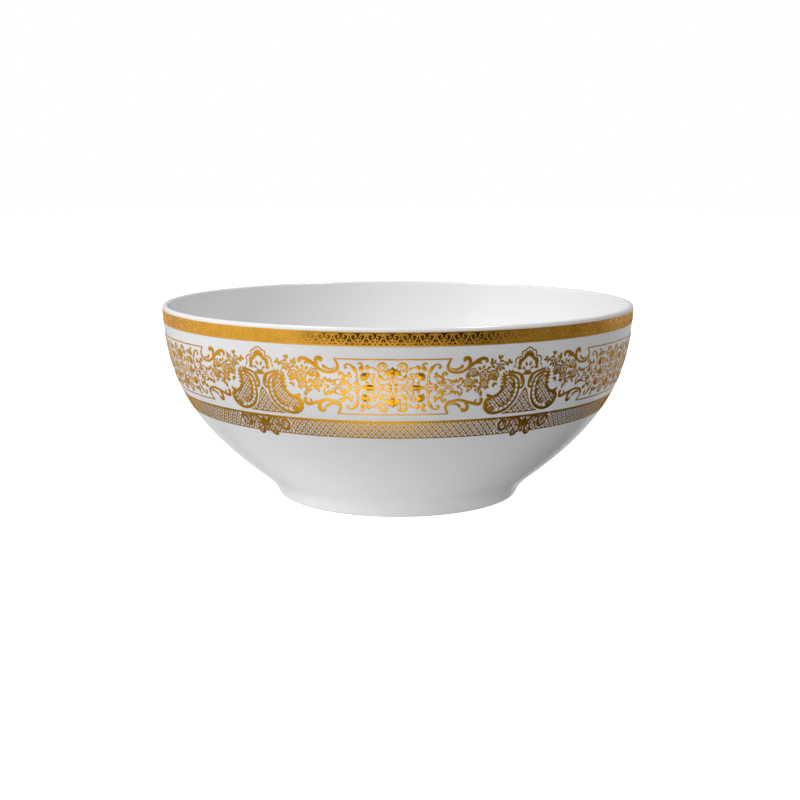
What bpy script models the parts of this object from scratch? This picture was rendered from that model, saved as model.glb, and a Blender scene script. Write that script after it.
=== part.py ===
"""A round porcelain serving bowl on a low foot ring, with fired-on gold prints round its wall.

The porcelain is one turned body. Each gold print is its own thin shell, bent to the wall. The frieze
repeats six times round the bowl; the bow clasps of the trellis below it are spaced on their own, with
the longest strip of trellis at the front. Metres, +Z up, origin at the centre of the foot.
"""

import math

import bmesh
import bpy

MM = 0.001

# The porcelain, in metres.
RIM_RADIUS = 0.125
RIM_HEIGHT = 0.1014  # where the wall is widest, under the rounded lip
LIP_RADIUS = 0.0015  # the lip is a half round as thick as the wall there
FOOT_RADIUS = 0.0652  # outer edge of the foot where it meets the table
FOOT_HEIGHT = 0.0076
SHOULDER_RADIUS = 0.0691  # where the foot meets the wall
CONTACT_INNER_RADIUS = 0.0612
RECESS_RADIUS = 0.0585
RECESS_DEPTH = 0.0055
FLOOR_HEIGHT = 0.0115  # the inside of the well
FLOOR_RADIUS = 0.048
WALL_AT_FOOT = 0.0052  # the wall thins from here up to the lip
INNER_WALL_FROM = 0.12  # where the inside of the wall leaves the curve of the well
EDGE_ROUND = 0.0006  # the worn round on the foot's two edges

# The outer wall is one cubic curve: its pull at the foot and at the rim, and their slopes.
FOOT_PULL = 0.0532
FOOT_SLOPE = math.radians(37.8)
RIM_PULL = 0.0394
RIM_SLOPE = math.radians(2.1)

# The gold prints. Each lies clear of the glaze by LIFT and is SHELL thick.
REPEATS = 6
LIFT = 0.0003
SHELL = 0.0003
PRINT_RADIUS = 0.120  # flat widths are measured round a circle of this radius
RIM_BAND_LOW = 0.0944
RIM_BAND_HIGH = 0.1010
TRELLIS_LOW = 0.0502
TRELLIS_HIGH = 0.0592
FRIEZE_MIDDLE = 0.0757

SEGMENTS = 72
WALL_STEPS = 10
WELL_STEPS = 4
LIP_STEPS = 5
SHARP_ANGLE = math.radians(35)  # edges that turn more than this stay crisp
COLUMN = 9.0  # flat millimetres between the bends of a print
ROW = 8.0

# The flat prints, in millimetres: across from the motif's own middle, up from the frieze's middle.
# Each is one half, from the middle of the top round to the middle of the bottom.
CARTOUCHE_HALF = [
    (0.0, 13.4), (34.8, 13.6), (39.0, 13.5), (42.3, 12.6), (42.3, 10.4), (38.6, 9.9),
    (35.4, 8.9), (32.8, 7.0), (31.4, 5.6), (31.4, -5.6), (35.4, -6.8), (37.6, -5.8),
    (41.2, -6.0), (41.6, -8.0), (40.2, -9.6), (35.2, -9.2), (34.9, -11.4), (33.2, -12.6),
    (26.2, -13.4), (0.0, -13.4),
]
CREST_HALF = [
    (0.0, 16.9), (4.4, 15.0), (7.5, 11.4), (7.5, 7.6), (9.9, 7.4), (13.2, 5.6), (13.9, 2.4),
    (13.9, -1.2), (13.2, -3.2), (16.6, -5.2), (19.0, -3.8), (20.3, -4.6), (20.7, -9.6),
    (19.4, -12.4), (17.0, -14.3), (14.4, -14.7), (11.6, -14.5), (8.8, -13.3), (6.4, -11.4),
    (4.7, -9.2), (3.6, -6.4), (3.2, -3.2), (1.4, -2.8), (1.0, -0.9), (0.0, 0.4),
]
GUSSET_HALF = [
    (0.0, -1.9), (1.3, -4.3), (2.4, -7.0), (3.4, -9.4), (4.9, -11.6), (7.0, -13.2), (9.9, -14.7),
    (0.0, -14.7),
]
CLASP_HALF = [
    (0.0, -16.5), (15.5, -16.5), (15.5, -25.4), (6.4, -25.4), (5.4, -27.8), (2.4, -28.0),
    (0.0, -26.2),
]
# The spray to the right of a crest, measured from the crest's middle. Its twin is mirrored.
SPRAY = [
    (8.3, 10.6), (8.4, 9.4), (12.4, 8.6), (14.4, 5.6), (14.5, 1.4), (14.7, -0.4), (16.6, -2.0),
    (20.4, -2.8), (21.7, -5.0), (22.9, -5.0), (24.4, -3.0), (29.4, -3.6), (30.4, -1.4),
    (30.9, 0.6), (30.9, 4.2), (29.4, 6.6), (27.4, 8.4), (24.6, 9.3), (20.0, 10.6), (19.8, 12.2),
    (15.8, 14.0), (12.8, 13.8), (11.2, 12.0),
]
# The two clasps nearest the front stand this far round from it; the rest share what is left.
FRONT_CLASP = 67.4
CLASP_GAP = 0.5  # between a clasp and the strips beside it

PORCELAIN = ("glazed_porcelain", (0.86, 0.87, 0.87), 0.08, 0.0)
GOLD = ("fired_gold", (0.80, 0.50, 0.10), 0.28, 1.0)


def material(name, colour, roughness, metallic):
    made = bpy.data.materials.get(name)
    if made is None:
        made = bpy.data.materials.new(name)
        made.use_nodes = True
        made.diffuse_color = (*colour, 1.0)
        shader = made.node_tree.nodes["Principled BSDF"]
        shader.inputs["Base Color"].default_value = (*colour, 1.0)
        shader.inputs["Roughness"].default_value = roughness
        shader.inputs["Metallic"].default_value = metallic
    return made


def cubic(start, pull, end_pull, end, t):
    """The point at t on a cubic curve through start and end."""
    s = 1.0 - t
    parts = (s**3, 3 * s * s * t, 3 * s * t * t, t**3)
    return tuple(
        sum(k * p[i] for k, p in zip(parts, (start, pull, end_pull, end))) for i in (0, 1)
    )


def wall(t):
    """(radius, height) on the outer wall, from the foot's shoulder at 0 to the widest point at 1."""
    start = (SHOULDER_RADIUS, FOOT_HEIGHT)
    end = (RIM_RADIUS, RIM_HEIGHT)
    pull = (
        start[0] + FOOT_PULL * math.cos(FOOT_SLOPE),
        start[1] + FOOT_PULL * math.sin(FOOT_SLOPE),
    )
    end_pull = (
        end[0] - RIM_PULL * math.sin(RIM_SLOPE),
        end[1] - RIM_PULL * math.cos(RIM_SLOPE),
    )
    return cubic(start, pull, end_pull, end, t)


def wall_normal(t):
    """The outward normal of the outer wall, as (radial, up)."""
    step = 1e-4
    a, b = wall(max(0.0, t - step)), wall(min(1.0, t + step))
    along = (b[0] - a[0], b[1] - a[1])
    length = math.hypot(*along)
    return along[1] / length, -along[0] / length


def wall_at_height(height):
    """The place t of the outer wall at a height, by halving."""
    low, high = 0.0, 1.0
    for _ in range(40):
        middle = (low + high) / 2
        if wall(middle)[1] < height:
            low = middle
        else:
            high = middle
    return (low + high) / 2


def on_wall(angle, height, lift):
    """A point lifted off the outer wall. Angle 0 is the front, at -Y, and grows towards +X."""
    t = wall_at_height(height)
    radius, level = wall(t)
    out, up = wall_normal(t)
    radius += lift * out
    return radius * math.sin(angle), -radius * math.cos(angle), level + lift * up


def inner_wall(t):
    """The inside of the wall, a wall's thickness in from the outside."""
    thickness = WALL_AT_FOOT + (2 * LIP_RADIUS - WALL_AT_FOOT) * t
    radius, level = wall(t)
    out, up = wall_normal(t)
    return radius - thickness * out, level - thickness * up


def arc(centre, radius, start, end, steps):
    """Points on an arc in the profile's plane, angles in degrees from the radial direction."""
    turns = [math.radians(start + (end - start) * i / steps) for i in range(steps + 1)]
    return [(centre[0] + radius * math.cos(a), centre[1] + radius * math.sin(a)) for a in turns]


def body_profile():
    """The half section of the porcelain, from the centre of the well over the lip to the recess."""
    start = inner_wall(INNER_WALL_FROM)
    following = inner_wall(INNER_WALL_FROM + 0.01)
    slope = (following[1] - start[1]) / (following[0] - start[0])
    corner = (start[0] - (start[1] - FLOOR_HEIGHT) / slope, FLOOR_HEIGHT)
    edge = (FLOOR_RADIUS, FLOOR_HEIGHT)
    well = [cubic(edge, corner, corner, start, i / WELL_STEPS) for i in range(WELL_STEPS)]
    rise = 1.0 - INNER_WALL_FROM
    inside = [inner_wall(INNER_WALL_FROM + rise * i / WALL_STEPS) for i in range(WALL_STEPS)]
    lip = arc((RIM_RADIUS - LIP_RADIUS, RIM_HEIGHT), LIP_RADIUS, 180, 0, LIP_STEPS)
    outside = [wall(1.0 - i / WALL_STEPS) for i in range(1, WALL_STEPS + 1)]
    foot = [
        (FOOT_RADIUS, EDGE_ROUND),
        (FOOT_RADIUS - EDGE_ROUND, 0.0),
        (CONTACT_INNER_RADIUS + EDGE_ROUND, 0.0),
        (CONTACT_INNER_RADIUS, EDGE_ROUND),
        (RECESS_RADIUS, RECESS_DEPTH),
    ]
    return [(0.0, FLOOR_HEIGHT), *well, *inside, *lip, *outside, *foot, (0.0, RECESS_DEPTH)]


def turned(name, profile, look, closed=False):
    """An object made by turning a half section about the Z axis."""
    mesh = bpy.data.meshes.new(name)
    shape = bmesh.new()
    points = [shape.verts.new((radius, 0.0, level)) for radius, level in profile]
    pairs = list(zip(points, points[1:]))
    if closed:
        pairs.append((points[-1], points[0]))
    edges = [shape.edges.new(pair) for pair in pairs]
    bmesh.ops.spin(
        shape, geom=points + edges, cent=(0, 0, 0), axis=(0, 0, 1), dvec=(0, 0, 0),
        angle=math.tau, steps=SEGMENTS, use_merge=True,
    )
    bmesh.ops.remove_doubles(shape, verts=shape.verts, dist=1e-6)
    bmesh.ops.recalc_face_normals(shape, faces=shape.faces)
    shape.to_mesh(mesh)
    shape.free()
    return placed(name, mesh, look)


def placed(name, mesh, look):
    """The object of a mesh, shaded smooth with its true edges kept sharp."""
    mesh.shade_smooth()
    mesh.set_sharp_from_angle(angle=SHARP_ANGLE)
    mesh.materials.append(material(*look))
    made = bpy.data.objects.new(name, mesh)
    bpy.context.scene.collection.objects.link(made)
    return made


def band_profile(low, high, rows):
    """The closed section of a gold band that follows the wall between two heights."""
    levels = [low + (high - low) * i / rows for i in range(rows + 1)]

    def side(lift):
        points = [on_wall(math.pi / 2, level, lift) for level in levels]
        return [(x, z) for x, _, z in points]

    return side(LIFT + SHELL) + side(LIFT)[::-1]


def printed(name, outline, angle, look=GOLD):
    """One gold print: a flat outline cut into cells, thickened, and bent to the wall at an angle."""
    mesh = bpy.data.meshes.new(name)
    shape = bmesh.new()
    shape.faces.new([shape.verts.new((across, up, 0.0)) for across, up in outline])
    for axis, step in ((0, COLUMN), (1, ROW)):
        values = [point[axis] for point in outline]
        normal = (1, 0, 0) if axis == 0 else (0, 1, 0)
        for i in range(math.ceil(min(values) / step), math.floor(max(values) / step) + 1):
            place = tuple(step * i * n for n in normal)
            cut = shape.verts[:] + shape.edges[:] + shape.faces[:]
            bmesh.ops.bisect_plane(shape, geom=cut, dist=1e-4, plane_co=place, plane_no=normal)
    raised = bmesh.ops.extrude_face_region(shape, geom=shape.faces[:])
    upper = [part for part in raised["geom"] if isinstance(part, bmesh.types.BMVert)]
    bmesh.ops.translate(shape, verts=upper, vec=(0, 0, SHELL))
    bmesh.ops.triangulate(shape, faces=shape.faces)
    bmesh.ops.recalc_face_normals(shape, faces=shape.faces)
    for point in shape.verts:
        across, up, thick = point.co
        turn = angle + across * MM / PRINT_RADIUS
        point.co = on_wall(turn, FRIEZE_MIDDLE + up * MM, LIFT + thick)
    shape.to_mesh(mesh)
    shape.free()
    return placed(name, mesh, look)


def mirrored(half):
    """A whole outline from its right half, whose first and last points lie on the middle line."""
    return half + [(-across, up) for across, up in reversed(half[1:-1])]


def clasp_angles():
    """Where the clasps stand, from the one nearest the front on the right, all the way round."""
    first = FRONT_CLASP * MM / PRINT_RADIUS
    step = (math.tau - 2 * first) / (REPEATS - 1)
    return [first + step * i for i in range(REPEATS)]


def trellis_outline(between):
    """The strip of trellis between two clasps this angle apart. It starts clear of their ends."""
    half = between / 2 * PRINT_RADIUS / MM - max(across for across, _ in CLASP_HALF) - CLASP_GAP
    low, high = ((level - FRIEZE_MIDDLE) / MM for level in (TRELLIS_LOW, TRELLIS_HIGH))
    return [(half, high), (half, low), (-half, low), (-half, high)]


def clear_scene():
    for old in list(bpy.data.objects):
        bpy.data.objects.remove(old)


def build():
    clear_scene()
    turned("bowl_body", body_profile(), PORCELAIN)
    turned("rim_band", band_profile(RIM_BAND_LOW, RIM_BAND_HIGH, 1), GOLD, closed=True)
    left_spray = [(-across, up) for across, up in reversed(SPRAY)]
    clasps = clasp_angles()
    before = [clasps[-1] - math.tau] + clasps[:-1]
    for i in range(REPEATS):
        panel = math.tau * i / REPEATS
        crest = panel + math.pi / REPEATS
        printed(f"cartouche_{i + 1}", mirrored(CARTOUCHE_HALF), panel)
        between = clasps[i] - before[i]
        printed(f"trellis_strip_{i + 1}", trellis_outline(between), before[i] + between / 2)
        printed(f"shell_crest_{i + 1}", mirrored(CREST_HALF), crest)
        printed(f"trellis_gusset_{i + 1}", mirrored(GUSSET_HALF), crest)
        printed(f"bow_clasp_{i + 1}", mirrored(CLASP_HALF), clasps[i])
        printed(f"flower_spray_left_{i + 1}", left_spray, crest)
        printed(f"flower_spray_right_{i + 1}", SPRAY, crest)


build()
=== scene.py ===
import math

import bmesh
import bpy
import numpy as np
from mathutils import Matrix, Vector


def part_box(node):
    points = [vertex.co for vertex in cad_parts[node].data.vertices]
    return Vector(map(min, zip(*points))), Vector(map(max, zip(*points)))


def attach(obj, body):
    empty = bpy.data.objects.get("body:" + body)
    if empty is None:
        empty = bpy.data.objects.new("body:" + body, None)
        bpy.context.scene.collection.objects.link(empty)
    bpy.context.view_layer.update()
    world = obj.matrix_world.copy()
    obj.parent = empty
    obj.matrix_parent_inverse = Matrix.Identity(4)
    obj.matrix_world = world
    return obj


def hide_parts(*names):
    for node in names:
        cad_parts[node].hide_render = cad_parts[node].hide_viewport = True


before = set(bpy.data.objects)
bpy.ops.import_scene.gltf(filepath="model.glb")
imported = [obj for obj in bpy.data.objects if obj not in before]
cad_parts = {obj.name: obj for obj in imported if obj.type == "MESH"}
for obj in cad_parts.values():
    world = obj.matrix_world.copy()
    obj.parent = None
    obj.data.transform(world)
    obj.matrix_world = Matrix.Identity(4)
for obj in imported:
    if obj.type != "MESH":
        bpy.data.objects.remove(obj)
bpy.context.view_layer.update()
mm = 0.001
repeats = 6
sixAround = [math.tau * i / repeats for i in range(repeats)]
betweenSix = [angle + math.pi / repeats for angle in sixAround]  # a crest stands between two cartouches
print("frame loaded:", len(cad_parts), "nodes")


# Nodes and materials

def feed(tree, socket, value):
    if isinstance(value, bpy.types.NodeSocket):
        tree.links.new(value, socket)
    else:
        socket.default_value = value


def addNode(tree, kind, inputs=None, **settings):
    node = tree.nodes.new(kind)
    for name, value in settings.items():
        setattr(node, name, value)
    for name, value in (inputs or {}).items():
        feed(tree, node.inputs[name], value)
    return node


def addMath(tree, operation, first, second=0.0, clamp=False):
    inputs = {0: first, 1: second}
    return addNode(tree, "ShaderNodeMath", inputs, operation=operation, use_clamp=clamp).outputs[0]


def addMap(tree, value, fromMin, fromMax, toMin=0.0, toMax=1.0):
    inputs = {"Value": value, "From Min": fromMin, "From Max": fromMax, "To Min": toMin, "To Max": toMax}
    return addNode(tree, "ShaderNodeMapRange", inputs, interpolation_type="SMOOTHSTEP").outputs[0]


def addNoise(tree, place, scale, detail=2.0, roughness=0.5):
    inputs = {"Vector": place, "Scale": scale, "Detail": detail, "Roughness": roughness}
    return addNode(tree, "ShaderNodeTexNoise", inputs).outputs["Fac"]


def addMix(tree, factor, first, second):
    node = addNode(tree, "ShaderNodeMix", data_type="RGBA")
    for socket, value in zip((node.inputs[0], node.inputs[6], node.inputs[7]), (factor, first, second)):
        feed(tree, socket, value)
    return node.outputs[2]


def newGroup(name, inputs, outputs):
    tree = bpy.data.node_groups.new(name, "ShaderNodeTree")
    for label, kind, value in inputs:
        socket = tree.interface.new_socket(label, in_out="INPUT", socket_type=kind)
        if value is not None:
            socket.default_value = value
    for label in outputs:
        tree.interface.new_socket(label, in_out="OUTPUT", socket_type="NodeSocketFloat")
    return tree, tree.nodes.new("NodeGroupInput"), tree.nodes.new("NodeGroupOutput")


# The skin of the glaze: a slow ripple, a fine orange peel, a drift of tone and a few pin specks.
def makeGlazeSkin():
    tree, given, made = newGroup(
        "glazeSkin",
        [("Place", "NodeSocketVector", None), ("Ripple Scale", "NodeSocketFloat", 28.0),
         ("Peel Scale", "NodeSocketFloat", 420.0), ("Speck Scale", "NodeSocketFloat", 160.0)],
        ["Height", "Tone", "Specks"],
    )
    place = given.outputs["Place"]
    ripple = addNoise(tree, place, given.outputs["Ripple Scale"], 1.0)
    peel = addNoise(tree, place, given.outputs["Peel Scale"], 1.0)
    height = addMath(tree, "MULTIPLY_ADD", peel, 0.12)
    tree.links.new(ripple, height.node.inputs[2])
    cells = addNode(tree, "ShaderNodeTexVoronoi", {"Vector": place, "Scale": given.outputs["Speck Scale"]})
    speck = addMap(tree, cells.outputs["Distance"], 0.03, 0.07, 1.0, 0.0)
    chosen = addMap(tree, cells.outputs["Color"], 0.93, 0.95)
    tree.links.new(height, made.inputs["Height"])
    tree.links.new(addNoise(tree, place, 9.0, 2.0), made.inputs["Tone"])
    tree.links.new(addMath(tree, "MULTIPLY", speck, chosen), made.inputs["Specks"])
    return tree


# Handling of fired gold: rubbed patches, hairline scratches and the grain of the print.
def makeGoldWear():
    tree, given, made = newGroup(
        "goldWear",
        [("Place", "NodeSocketVector", None), ("Patch Scale", "NodeSocketFloat", 90.0),
         ("Grain Scale", "NodeSocketFloat", 2600.0), ("Scratch Scale", "NodeSocketFloat", 300.0)],
        ["Rubbed", "Grain", "Scratches"],
    )
    place = given.outputs["Place"]
    patches = addNoise(tree, place, given.outputs["Patch Scale"], 4.0, 0.6)
    grain = addNoise(tree, place, given.outputs["Grain Scale"], 2.0, 0.7)
    turned = addNode(tree, "ShaderNodeMapping", {"Vector": place, "Rotation": (0.4, 0.7, 0.3),
                                                 "Scale": (1.0, 1.0, 14.0)}).outputs[0]
    streaks = addNoise(tree, turned, given.outputs["Scratch Scale"], 1.0)
    tree.links.new(addMap(tree, patches, 0.42, 0.70), made.inputs["Rubbed"])
    tree.links.new(grain, made.inputs["Grain"])
    tree.links.new(addMap(tree, streaks, 0.66, 0.74), made.inputs["Scratches"])
    return tree


glazeSkin = makeGlazeSkin()
goldWear = makeGoldWear()


def newMaterial(name):
    made = bpy.data.materials.new(name)
    made.use_nodes = True
    tree = made.node_tree
    place = addNode(tree, "ShaderNodeTexCoord").outputs["Object"]
    return made, tree, tree.nodes["Principled BSDF"], place


def addGroup(tree, group, inputs):
    node = addNode(tree, "ShaderNodeGroup", node_tree=group)
    for name, value in inputs.items():
        feed(tree, node.inputs[name], value)
    return node.outputs


def addBump(tree, shader, height, strength, distance):
    inputs = {"Height": height, "Strength": strength, "Distance": distance}
    bump = addNode(tree, "ShaderNodeBump", inputs)
    tree.links.new(bump.outputs[0], shader.inputs["Normal"])


porcelain = {
    "glaze": (0.875, 0.88, 0.885, 1.0),
    "glazeDeep": (0.845, 0.852, 0.858, 1.0),
    "speck": (0.42, 0.38, 0.33, 1.0),
    "biscuit": (0.70, 0.67, 0.62, 1.0),
    "biscuitDark": (0.58, 0.55, 0.50, 1.0),
    "glossRoughness": (0.07, 0.13),
    "biscuitRoughness": 0.78,
    "bareHeight": (0.0004, 0.0007),  # the glaze is wiped off below this
}


def makePorcelain():
    made, tree, shader, place = newMaterial("glazedPorcelain")
    skin = addGroup(tree, glazeSkin, {"Place": place})
    body = addMix(tree, skin["Tone"], porcelain["glaze"], porcelain["glazeDeep"])
    speckled = addMix(tree, addMath(tree, "MULTIPLY", skin["Specks"], 0.35), body, porcelain["speck"])
    height = addNode(tree, "ShaderNodeSeparateXYZ", {"Vector": place}).outputs["Z"]
    edge = addMath(tree, "MULTIPLY_ADD", addNoise(tree, place, 260.0, 3.0), -0.0003)
    tree.links.new(height, edge.node.inputs[2])
    low, high = porcelain["bareHeight"]
    bare = addMap(tree, edge, low - 0.00015, high - 0.00015, 1.0, 0.0)
    grit = addNoise(tree, place, 1800.0, 4.0, 0.7)
    biscuit = addMix(tree, grit, porcelain["biscuit"], porcelain["biscuitDark"])
    tree.links.new(addMix(tree, bare, speckled, biscuit), shader.inputs["Base Color"])
    gloss = addMap(tree, skin["Tone"], 0.3, 0.7, *porcelain["glossRoughness"])
    rough = addNode(tree, "ShaderNodeMix", {0: bare, 2: gloss, 3: porcelain["biscuitRoughness"]})
    tree.links.new(rough.outputs[0], shader.inputs["Roughness"])
    gritHeight = addMath(tree, "MULTIPLY", grit, bare)
    relief = addMath(tree, "MULTIPLY_ADD", gritHeight, 0.6)
    tree.links.new(skin["Height"], relief.node.inputs[2])
    addBump(tree, shader, relief, 0.10, 0.0004)
    shader.inputs["IOR"].default_value = 1.52
    return made


goldFinishes = {
    "goldDrawing": {
        "bright": (0.82, 0.41, 0.026, 1.0), "deep": (0.58, 0.27, 0.012, 1.0),
        "roughness": (0.34, 0.48), "scratchRoughness": 0.10, "grain": 0.35, "bump": 0.12,
    },
    "goldFine": {
        "bright": (0.80, 0.41, 0.008, 1.0), "deep": (0.62, 0.30, 0.005, 1.0),
        "roughness": (0.34, 0.48), "scratchRoughness": 0.10, "grain": 0.35, "bump": 0.12,
    },
    "goldGround": {
        "bright": (0.80, 0.43, 0.050, 1.0), "deep": (0.62, 0.32, 0.030, 1.0),
        "roughness": (0.13, 0.20), "scratchRoughness": 0.12, "grain": 0.25, "bump": 0.05,
    },
    "goldRelief": {
        "bright": (0.95, 0.50, 0.072, 1.0), "deep": (0.78, 0.39, 0.045, 1.0),
        "roughness": (0.46, 0.58), "scratchRoughness": 0.08, "grain": 0.35, "bump": 0.12,
    },
}


def makeGold(name):
    finish = goldFinishes[name]
    made, tree, shader, place = newMaterial(name)
    wear = addGroup(tree, goldWear, {"Place": place})
    skin = addGroup(tree, glazeSkin, {"Place": place})
    dull = addMath(tree, "MULTIPLY_ADD", wear["Grain"], finish["grain"])
    rubbed = addMath(tree, "MULTIPLY", wear["Rubbed"], 0.6)
    tree.links.new(rubbed, dull.node.inputs[2])
    tree.links.new(addMix(tree, dull, finish["bright"], finish["deep"]), shader.inputs["Base Color"])
    satin = addMap(tree, wear["Grain"], 0.3, 0.7, *finish["roughness"])
    scratched = addMath(tree, "MULTIPLY_ADD", wear["Scratches"], finish["scratchRoughness"])
    tree.links.new(satin, scratched.node.inputs[2])
    tree.links.new(scratched, shader.inputs["Roughness"])
    relief = addMath(tree, "MULTIPLY_ADD", wear["Grain"], 0.10)
    tree.links.new(skin["Height"], relief.node.inputs[2])
    addBump(tree, shader, relief, finish["bump"], 0.0004)
    shader.inputs["Metallic"].default_value = 1.0
    return made


porcelainFinish = makePorcelain()
golds = {name: makeGold(name) for name in goldFinishes}
print("materials made")


# The wall: one cubic curve from the foot's shoulder to the widest point under the lip

lowest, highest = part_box("bowl_body")
bowl = {
    "rimRadius": highest.x,
    "rimHeight": 0.1014,
    "lipRadius": 0.0015,
    "shoulder": (0.0691, 0.0076),
    "footPull": 0.0532,
    "footSlope": math.radians(37.8),
    "rimPull": 0.0394,
    "rimSlope": math.radians(2.1),
    "footRadius": 0.0652,
    "contactInner": 0.0612,
    "recessRadius": 0.0585,
    "recessDepth": 0.0055,
    "floorHeight": 0.0115,
    "floorRadius": 0.048,
    "wallAtFoot": 0.0052,
    "innerFrom": 0.12,
    "footRound": 0.0006,
    "shoulderBlend": 0.0036,
    "blendFrom": 0.05,  # the wall hands over to the shoulder's curve here
    "segments": 256,
    "floorSteps": 14, "innerSteps": 44, "lipSteps": 14, "outerSteps": 54,
    "shoulderSteps": 6, "footSteps": 5, "recessSteps": 8,
}


def bezierPoint(corners, t):
    while len(corners) > 1:
        corners = [a.lerp(b, t) for a, b in zip(corners, corners[1:])]
    return corners[0]


def wallCorners():
    start = Vector(bowl["shoulder"])
    end = Vector((bowl["rimRadius"], bowl["rimHeight"]))
    slope, lean = bowl["footSlope"], bowl["rimSlope"]
    pull = start + bowl["footPull"] * Vector((math.cos(slope), math.sin(slope)))
    endPull = end - bowl["rimPull"] * Vector((math.sin(lean), math.cos(lean)))
    return [start, pull, endPull, end]


def wallAt(t):
    return bezierPoint(wallCorners(), t)


def wallNormal(t):
    step = 1e-3
    along = wallAt(min(1.0, t + step)) - wallAt(max(0.0, t - step))
    return Vector((along.y, -along.x)).normalized()


def innerWallAt(t):
    lip = 2 * bowl["lipRadius"]
    thickness = bowl["wallAtFoot"] + (lip - bowl["wallAtFoot"]) * t
    return wallAt(t) - thickness * wallNormal(t)


def along(corners, steps, first=True):
    start = 0 if first else 1
    return [bezierPoint(corners, i / steps) for i in range(start, steps + 1)]


def arcPoints(centre, radius, start, end, steps):
    turns = [math.radians(start + (end - start) * i / steps) for i in range(steps + 1)]
    return [Vector((centre[0] + radius * math.cos(a), centre[1] + radius * math.sin(a))) for a in turns]


def bowlProfile():
    floor = bowl["floorHeight"]
    start, following = innerWallAt(bowl["innerFrom"]), innerWallAt(bowl["innerFrom"] + 0.01)
    slope = (following.y - start.y) / (following.x - start.x)
    corner = Vector((start.x - (start.y - floor) / slope, floor))
    edge = Vector((bowl["floorRadius"], floor))
    points = [Vector((edge.x * share, floor)) for share in (0.0, 0.3, 0.6, 0.85)]
    points += along([edge, corner, corner, start], bowl["floorSteps"])
    rise, steps = 1.0 - bowl["innerFrom"], bowl["innerSteps"]
    points += [innerWallAt(bowl["innerFrom"] + rise * i / steps) for i in range(1, steps)]
    lip = bowl["lipRadius"]
    points += arcPoints((bowl["rimRadius"] - lip, bowl["rimHeight"]), lip, 180, 0, bowl["lipSteps"])
    fall, steps = 1.0 - bowl["blendFrom"], bowl["outerSteps"]
    points += [wallAt(1.0 - fall * i / steps) for i in range(1, steps + 1)]
    shoulder, foot = Vector(bowl["shoulder"]), Vector((bowl["footRadius"], bowl["footRound"]))
    side = shoulder.lerp(foot, bowl["shoulderBlend"] / (shoulder - foot).length)
    points += along([points[-1], shoulder, side], bowl["shoulderSteps"], first=False)
    points += [side.lerp(foot, share) for share in (0.34, 0.67)]
    turn, inner = bowl["footRound"], bowl["contactInner"]
    points += arcPoints((foot.x - turn, turn), turn, 0, -90, bowl["footSteps"])
    points += arcPoints((inner + turn, turn), turn, -90, -180, bowl["footSteps"])
    ceiling = Vector((bowl["recessRadius"], bowl["recessDepth"]))
    inward = Vector((ceiling.x - 0.004, ceiling.y))
    points += along([Vector((inner, turn)), ceiling, inward], bowl["recessSteps"], first=False)
    points += [Vector((inward.x * share, ceiling.y)) for share in (0.66, 0.33, 0.0)]
    return points


def spinProfile(name, profile, segments, material, closed=False):
    shape = bmesh.new()
    points = [shape.verts.new((p[0], 0.0, p[1])) for p in profile]
    pairs = list(zip(points, points[1:])) + ([(points[-1], points[0])] if closed else [])
    edges = [shape.edges.new(pair) for pair in pairs]
    bmesh.ops.spin(shape, geom=points + edges, cent=(0, 0, 0), axis=(0, 0, 1),
                   angle=math.tau, steps=segments, use_merge=True)
    bmesh.ops.remove_doubles(shape, verts=shape.verts, dist=1e-6)
    bmesh.ops.recalc_face_normals(shape, faces=shape.faces)
    return addPiece(name, shape, material)


def addPiece(name, shape, material, sharpAngle=40):
    mesh = bpy.data.meshes.new(name)
    shape.to_mesh(mesh)
    shape.free()
    mesh.shade_smooth()
    mesh.set_sharp_from_angle(angle=math.radians(sharpAngle))
    mesh.materials.append(material)
    piece = bpy.data.objects.new(name, mesh)
    bpy.context.scene.collection.objects.link(piece)
    return piece


def makeBowl():
    piece = spinProfile("porcelain_bowl", bowlProfile(), bowl["segments"], porcelainFinish)
    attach(piece, "root")
    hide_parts("bowl_body")


makeBowl()
print("bowl turned")


# Prints: drawn flat in millimetres with a raised stroke, then laid on the wall

printing = {
    "radius": 120.0,  # flat widths are measured round a circle of this radius
    "middle": 75.4,  # height of the middle of the frieze
    "raise": 0.2,  # every print stands this much higher than drawn
    "sink": 0.03,  # the underside lies this far in the glaze
    "film": 0.035,  # a stroke's edge stands this far above it
    "weight": 1.36,  # every stroke is this much wider than drawn
    "section": [(-1.0, -0.3), (1.0, -0.3), (0.84, 0.10), (0.0, 0.17), (-0.84, 0.10)],
}
wallSteps = 600
wallSamples = [(wallAt(i / wallSteps), wallNormal(i / wallSteps)) for i in range(wallSteps + 1)]
wallHeights = np.array([p.y for p, _ in wallSamples]) / mm
wallRadii = np.array([p.x for p, _ in wallSamples]) / mm
wallOut = np.array([n.x for _, n in wallSamples])
wallUp = np.array([n.y for _, n in wallSamples])


def makeSection():
    curve = bpy.data.curves.new("strokeSection", "CURVE")
    curve.dimensions = "2D"
    curve.fill_mode = "NONE"
    spline = curve.splines.new("POLY")
    spline.points.add(len(printing["section"]) - 1)
    for point, (x, y) in zip(spline.points, printing["section"]):
        point.co = (x, y, 0.0, 1.0)
    spline.use_cyclic_u = True
    made = bpy.data.objects.new("strokeSection", curve)
    bpy.context.scene.collection.objects.link(made)
    return made


strokeSection = makeSection()


def newSheet(name, smoothness=3):
    sheet = bpy.data.curves.new(name, "CURVE")
    sheet.dimensions = "2D"
    sheet.fill_mode = "NONE"
    sheet.resolution_u = smoothness
    sheet.bevel_mode = "OBJECT"
    sheet.bevel_object = strokeSection
    sheet.use_fill_caps = True
    return sheet


# A pen draws on a sheet, mirrored by flip and moved by shift.
def newPen(sheet, flip=(1, 1), shift=(0.0, 0.0)):
    return {"sheet": sheet, "flip": flip, "shift": shift}


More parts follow.
